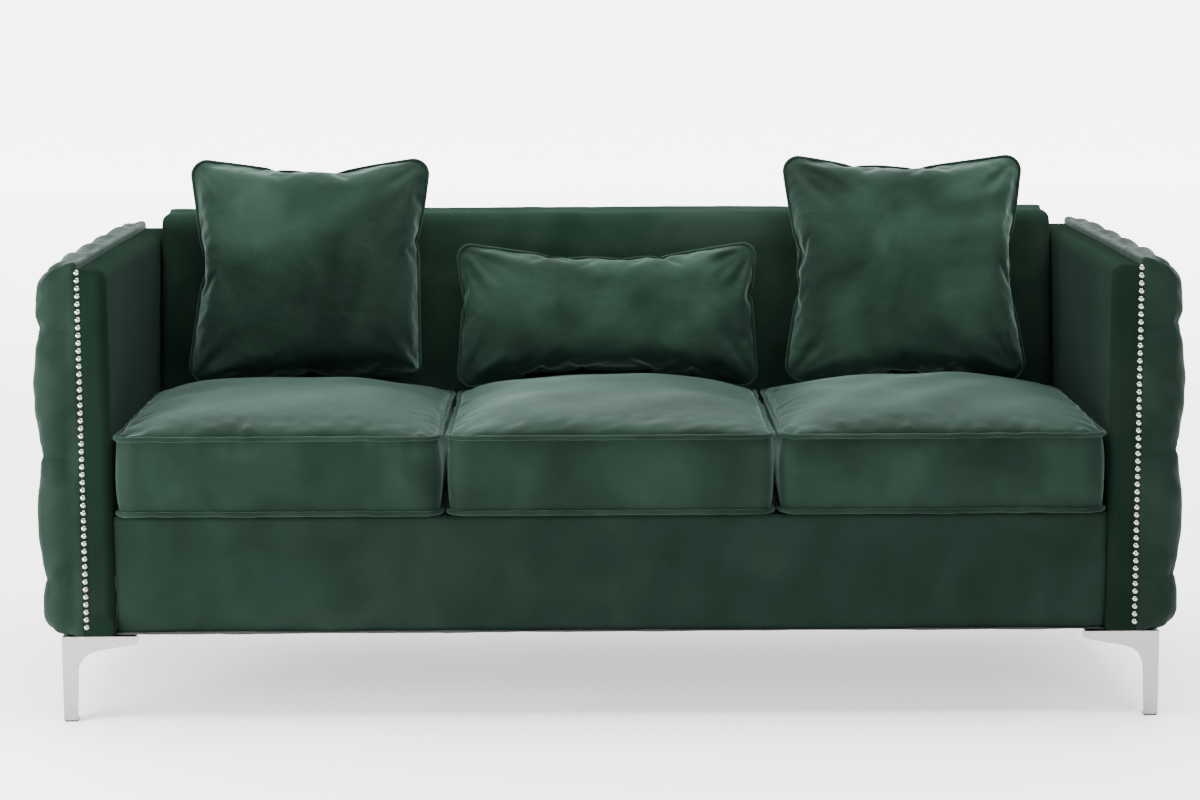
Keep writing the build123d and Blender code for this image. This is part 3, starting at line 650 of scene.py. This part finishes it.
def pillow(name, node, width, height, thick, seed, corner, foot, foot_ends=0.0):
    """A throw pillow, sewn and blown up, then fitted to its place on the seat.

    foot and foot_ends are how far the middle and the ends of its lower edge hang onto the seat.
    """
    points, faces, loop = flat_pillow(width * CUT, height * CUT, 0.0062, corner)
    shape = inflate(points, faces, SIM_FRAMES, seed)
    shape -= (shape.max(0) + shape.min(0)) / 2
    span = shape.max(0) - shape.min(0)
    shape *= np.array([width, height, thick]) / span
    shape[:, 2] += np.sign(shape[:, 2]) * pillow_folds(shape, width, height, seed)
    low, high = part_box(f"{node}_fill")
    centre = (np.array(low) + np.array(high)) / 2
    local = np.column_stack([shape[:, 0], -shape[:, 2], shape[:, 1]])
    lower = np.clip(-local[:, 2] / (height / 2), 0, 1)
    across = np.clip(np.abs(local[:, 0]) / (width / 2), 0, 1)
    local[:, 2] -= lower**2 * (foot * (1 - across**2) + foot_ends * across**2)
    turned = local.copy()
    turned[:, 1] = local[:, 1] * cos(LEAN) + local[:, 2] * sin(LEAN)
    turned[:, 2] = -local[:, 1] * sin(LEAN) + local[:, 2] * cos(LEAN)
    turned += centre
    cover = new_mesh(f"{name}_cushion", turned, faces, VELVET_SOFT)
    finer = cover.modifiers.new("finer", "SUBSURF")
    finer.levels = finer.render_levels = 1
    place(cover, name, replaces=(f"{node}_fill", f"{node}_cover"), fill=0.7)
    piping = tube(f"{name}_piping", turned[loop], 0.0036, VELVET_PIPING)
    place(piping, name)


# ---------------------------------------------------------------- build
for arm in ("left", "right"):
    tufted_pad(arm)
    inner_arm(arm)
back_upholstery()
flat_cloth(
    "front_rail_upholstery",
    (-0.8425, -0.392, 0.154),
    (0.8425, -0.352, 0.3535),
    0.009,
    31,
    ("front_rail_pad", "front_rail_cover"),
    hem=0.164,
    fill=0.8,
)
flat_cloth(
    "outside_back",
    (-0.8445, 0.4155, 0.152),
    (0.8445, 0.4186, 0.8105),
    0.012,
    35,
    ("back_outer_cover",),
    soften=0.0012,
)
flat_cloth(
    "underside_sheet",
    (-0.8425, -0.396, 0.1515),
    (0.8425, 0.414, 0.1538),
    0.016,
    37,
    ("dust_cover",),
    "lining",
    LINING,
    soften=0.001,
)
for number, seat in enumerate(SEATS):
    seat_cushion(seat, 100 + 17 * number)
pillow("left_pillow", "left_pillow", 0.438, 0.414, 0.140, 201, 0.030, 0.014)
pillow("right_pillow", "right_pillow", 0.440, 0.418, 0.140, 233, 0.030, 0.020)
pillow("lumbar_pillow", "lumbar_pillow", 0.552, 0.252, 0.112, 261, 0.026, 0.014, 0.016)


# ---------------------------------------------------------------- stage
def area_light(name, place_at, aim, size, power):
    data = bpy.data.lights.new(name, "AREA")
    data.shape = "RECTANGLE"
    data.size, data.size_y = size
    data.energy = power
    obj = bpy.data.objects.new(name, data)
    bpy.context.scene.collection.objects.link(obj)
    obj.location = place_at
    obj.rotation_euler = (Vector(aim) - Vector(place_at)).to_track_quat("-Z", "Y").to_euler()


floor_material, floor_tree, floor_bsdf = shader("pale_floor", Roughness=0.85)
floor_bsdf.inputs["Base Color"].default_value = (0.90, 0.90, 0.90, 1)
floor_bsdf.inputs["Emission Color"].default_value = (1, 1, 1, 1)
# the floor glows more the further it is from the sofa, so that it meets the backdrop without a line
coords = floor_tree.nodes.new("ShaderNodeTexCoord")
squash = floor_tree.nodes.new("ShaderNodeMapping")
squash.inputs["Scale"].default_value = (0.6, 1, 1)
reach = floor_tree.nodes.new("ShaderNodeVectorMath")
reach.operation = "LENGTH"
glow = floor_tree.nodes.new("ShaderNodeMapRange")
glow.inputs["From Min"].default_value = 0.7
glow.inputs["From Max"].default_value = 6.0
glow.inputs["To Min"].default_value = 0.65
glow.inputs["To Max"].default_value = 3.8
link(
    floor_tree,
    (coords.outputs["Object"], squash.inputs["Vector"]),
    (squash.outputs["Vector"], reach.inputs[0]),
    (reach.outputs["Value"], glow.inputs["Value"]),
    (glow.outputs["Result"], floor_bsdf.inputs["Emission Strength"]),
)
ROOM, WALL_Y, WALL_TOP = 26, 13, 22
floor_corners = [(-ROOM, -ROOM, 0), (ROOM, -ROOM, 0), (ROOM, WALL_Y, 0), (-ROOM, WALL_Y, 0)]
floor = new_mesh("floor", floor_corners, [(0, 1, 2, 3)], floor_material, smooth=False)

world = bpy.data.worlds.new("studio")
bpy.context.scene.world = world
world.use_nodes = True
world.node_tree.nodes["Background"].inputs["Color"].default_value = (1, 1, 1, 1)
world.node_tree.nodes["Background"].inputs["Strength"].default_value = 0.36

backdrop_material, _, backdrop_bsdf = shader("white_backdrop", Roughness=0.9)
backdrop_bsdf.inputs["Emission Color"].default_value = (1, 1, 1, 1)
backdrop_bsdf.inputs["Emission Strength"].default_value = 4.0
wall_corners = [(-ROOM, WALL_Y, 0), (ROOM, WALL_Y, 0), (ROOM, WALL_Y, WALL_TOP), (-ROOM, WALL_Y, WALL_TOP)]
backdrop = new_mesh("backdrop", wall_corners, [(0, 1, 2, 3)], backdrop_material, smooth=False)
area_light("top_softbox", (0.0, -0.2, 3.4), (0, 0, 0.3), (4.6, 2.6), 420)
area_light("front_softbox", (2.4, -3.9, 2.0), (-0.3, 0, 0.45), (2.0, 1.8), 80)
area_light("left_strip", (-2.2, -1.3, 0.6), (-0.95, -0.35, 0.45), (1.4, 0.7), 110)

# the camera was fitted to the sofa's straight edges
FOCAL_PIXELS, IMAGE_WIDTH = 2984.2, 1200
PITCH, YAW, ROLL = 0.1437, -0.0060, -0.0045
CAMERA_AT = (-0.047, -5.3707, 1.2705)
camera_data = bpy.data.cameras.new("camera")
camera_data.sensor_fit = "HORIZONTAL"
camera_data.sensor_width = 36
camera_data.lens = FOCAL_PIXELS / IMAGE_WIDTH * 36
camera = bpy.data.objects.new("camera", camera_data)
bpy.context.scene.collection.objects.link(camera)
right = Vector((cos(YAW), sin(YAW), 0))
ahead = Vector((-sin(YAW), cos(YAW), 0))
forward = ahead * cos(PITCH) - Vector((0, 0, 1)) * sin(PITCH)
upward = ahead * sin(PITCH) + Vector((0, 0, 1)) * cos(PITCH)
image_right = right * cos(ROLL) + upward * sin(ROLL)
image_up = -right * sin(ROLL) + upward * cos(ROLL)
turn = Matrix((image_right, image_up, -forward)).transposed().to_4x4()
camera.matrix_world = Matrix.Translation(CAMERA_AT) @ turn
bpy.context.scene.camera = camera
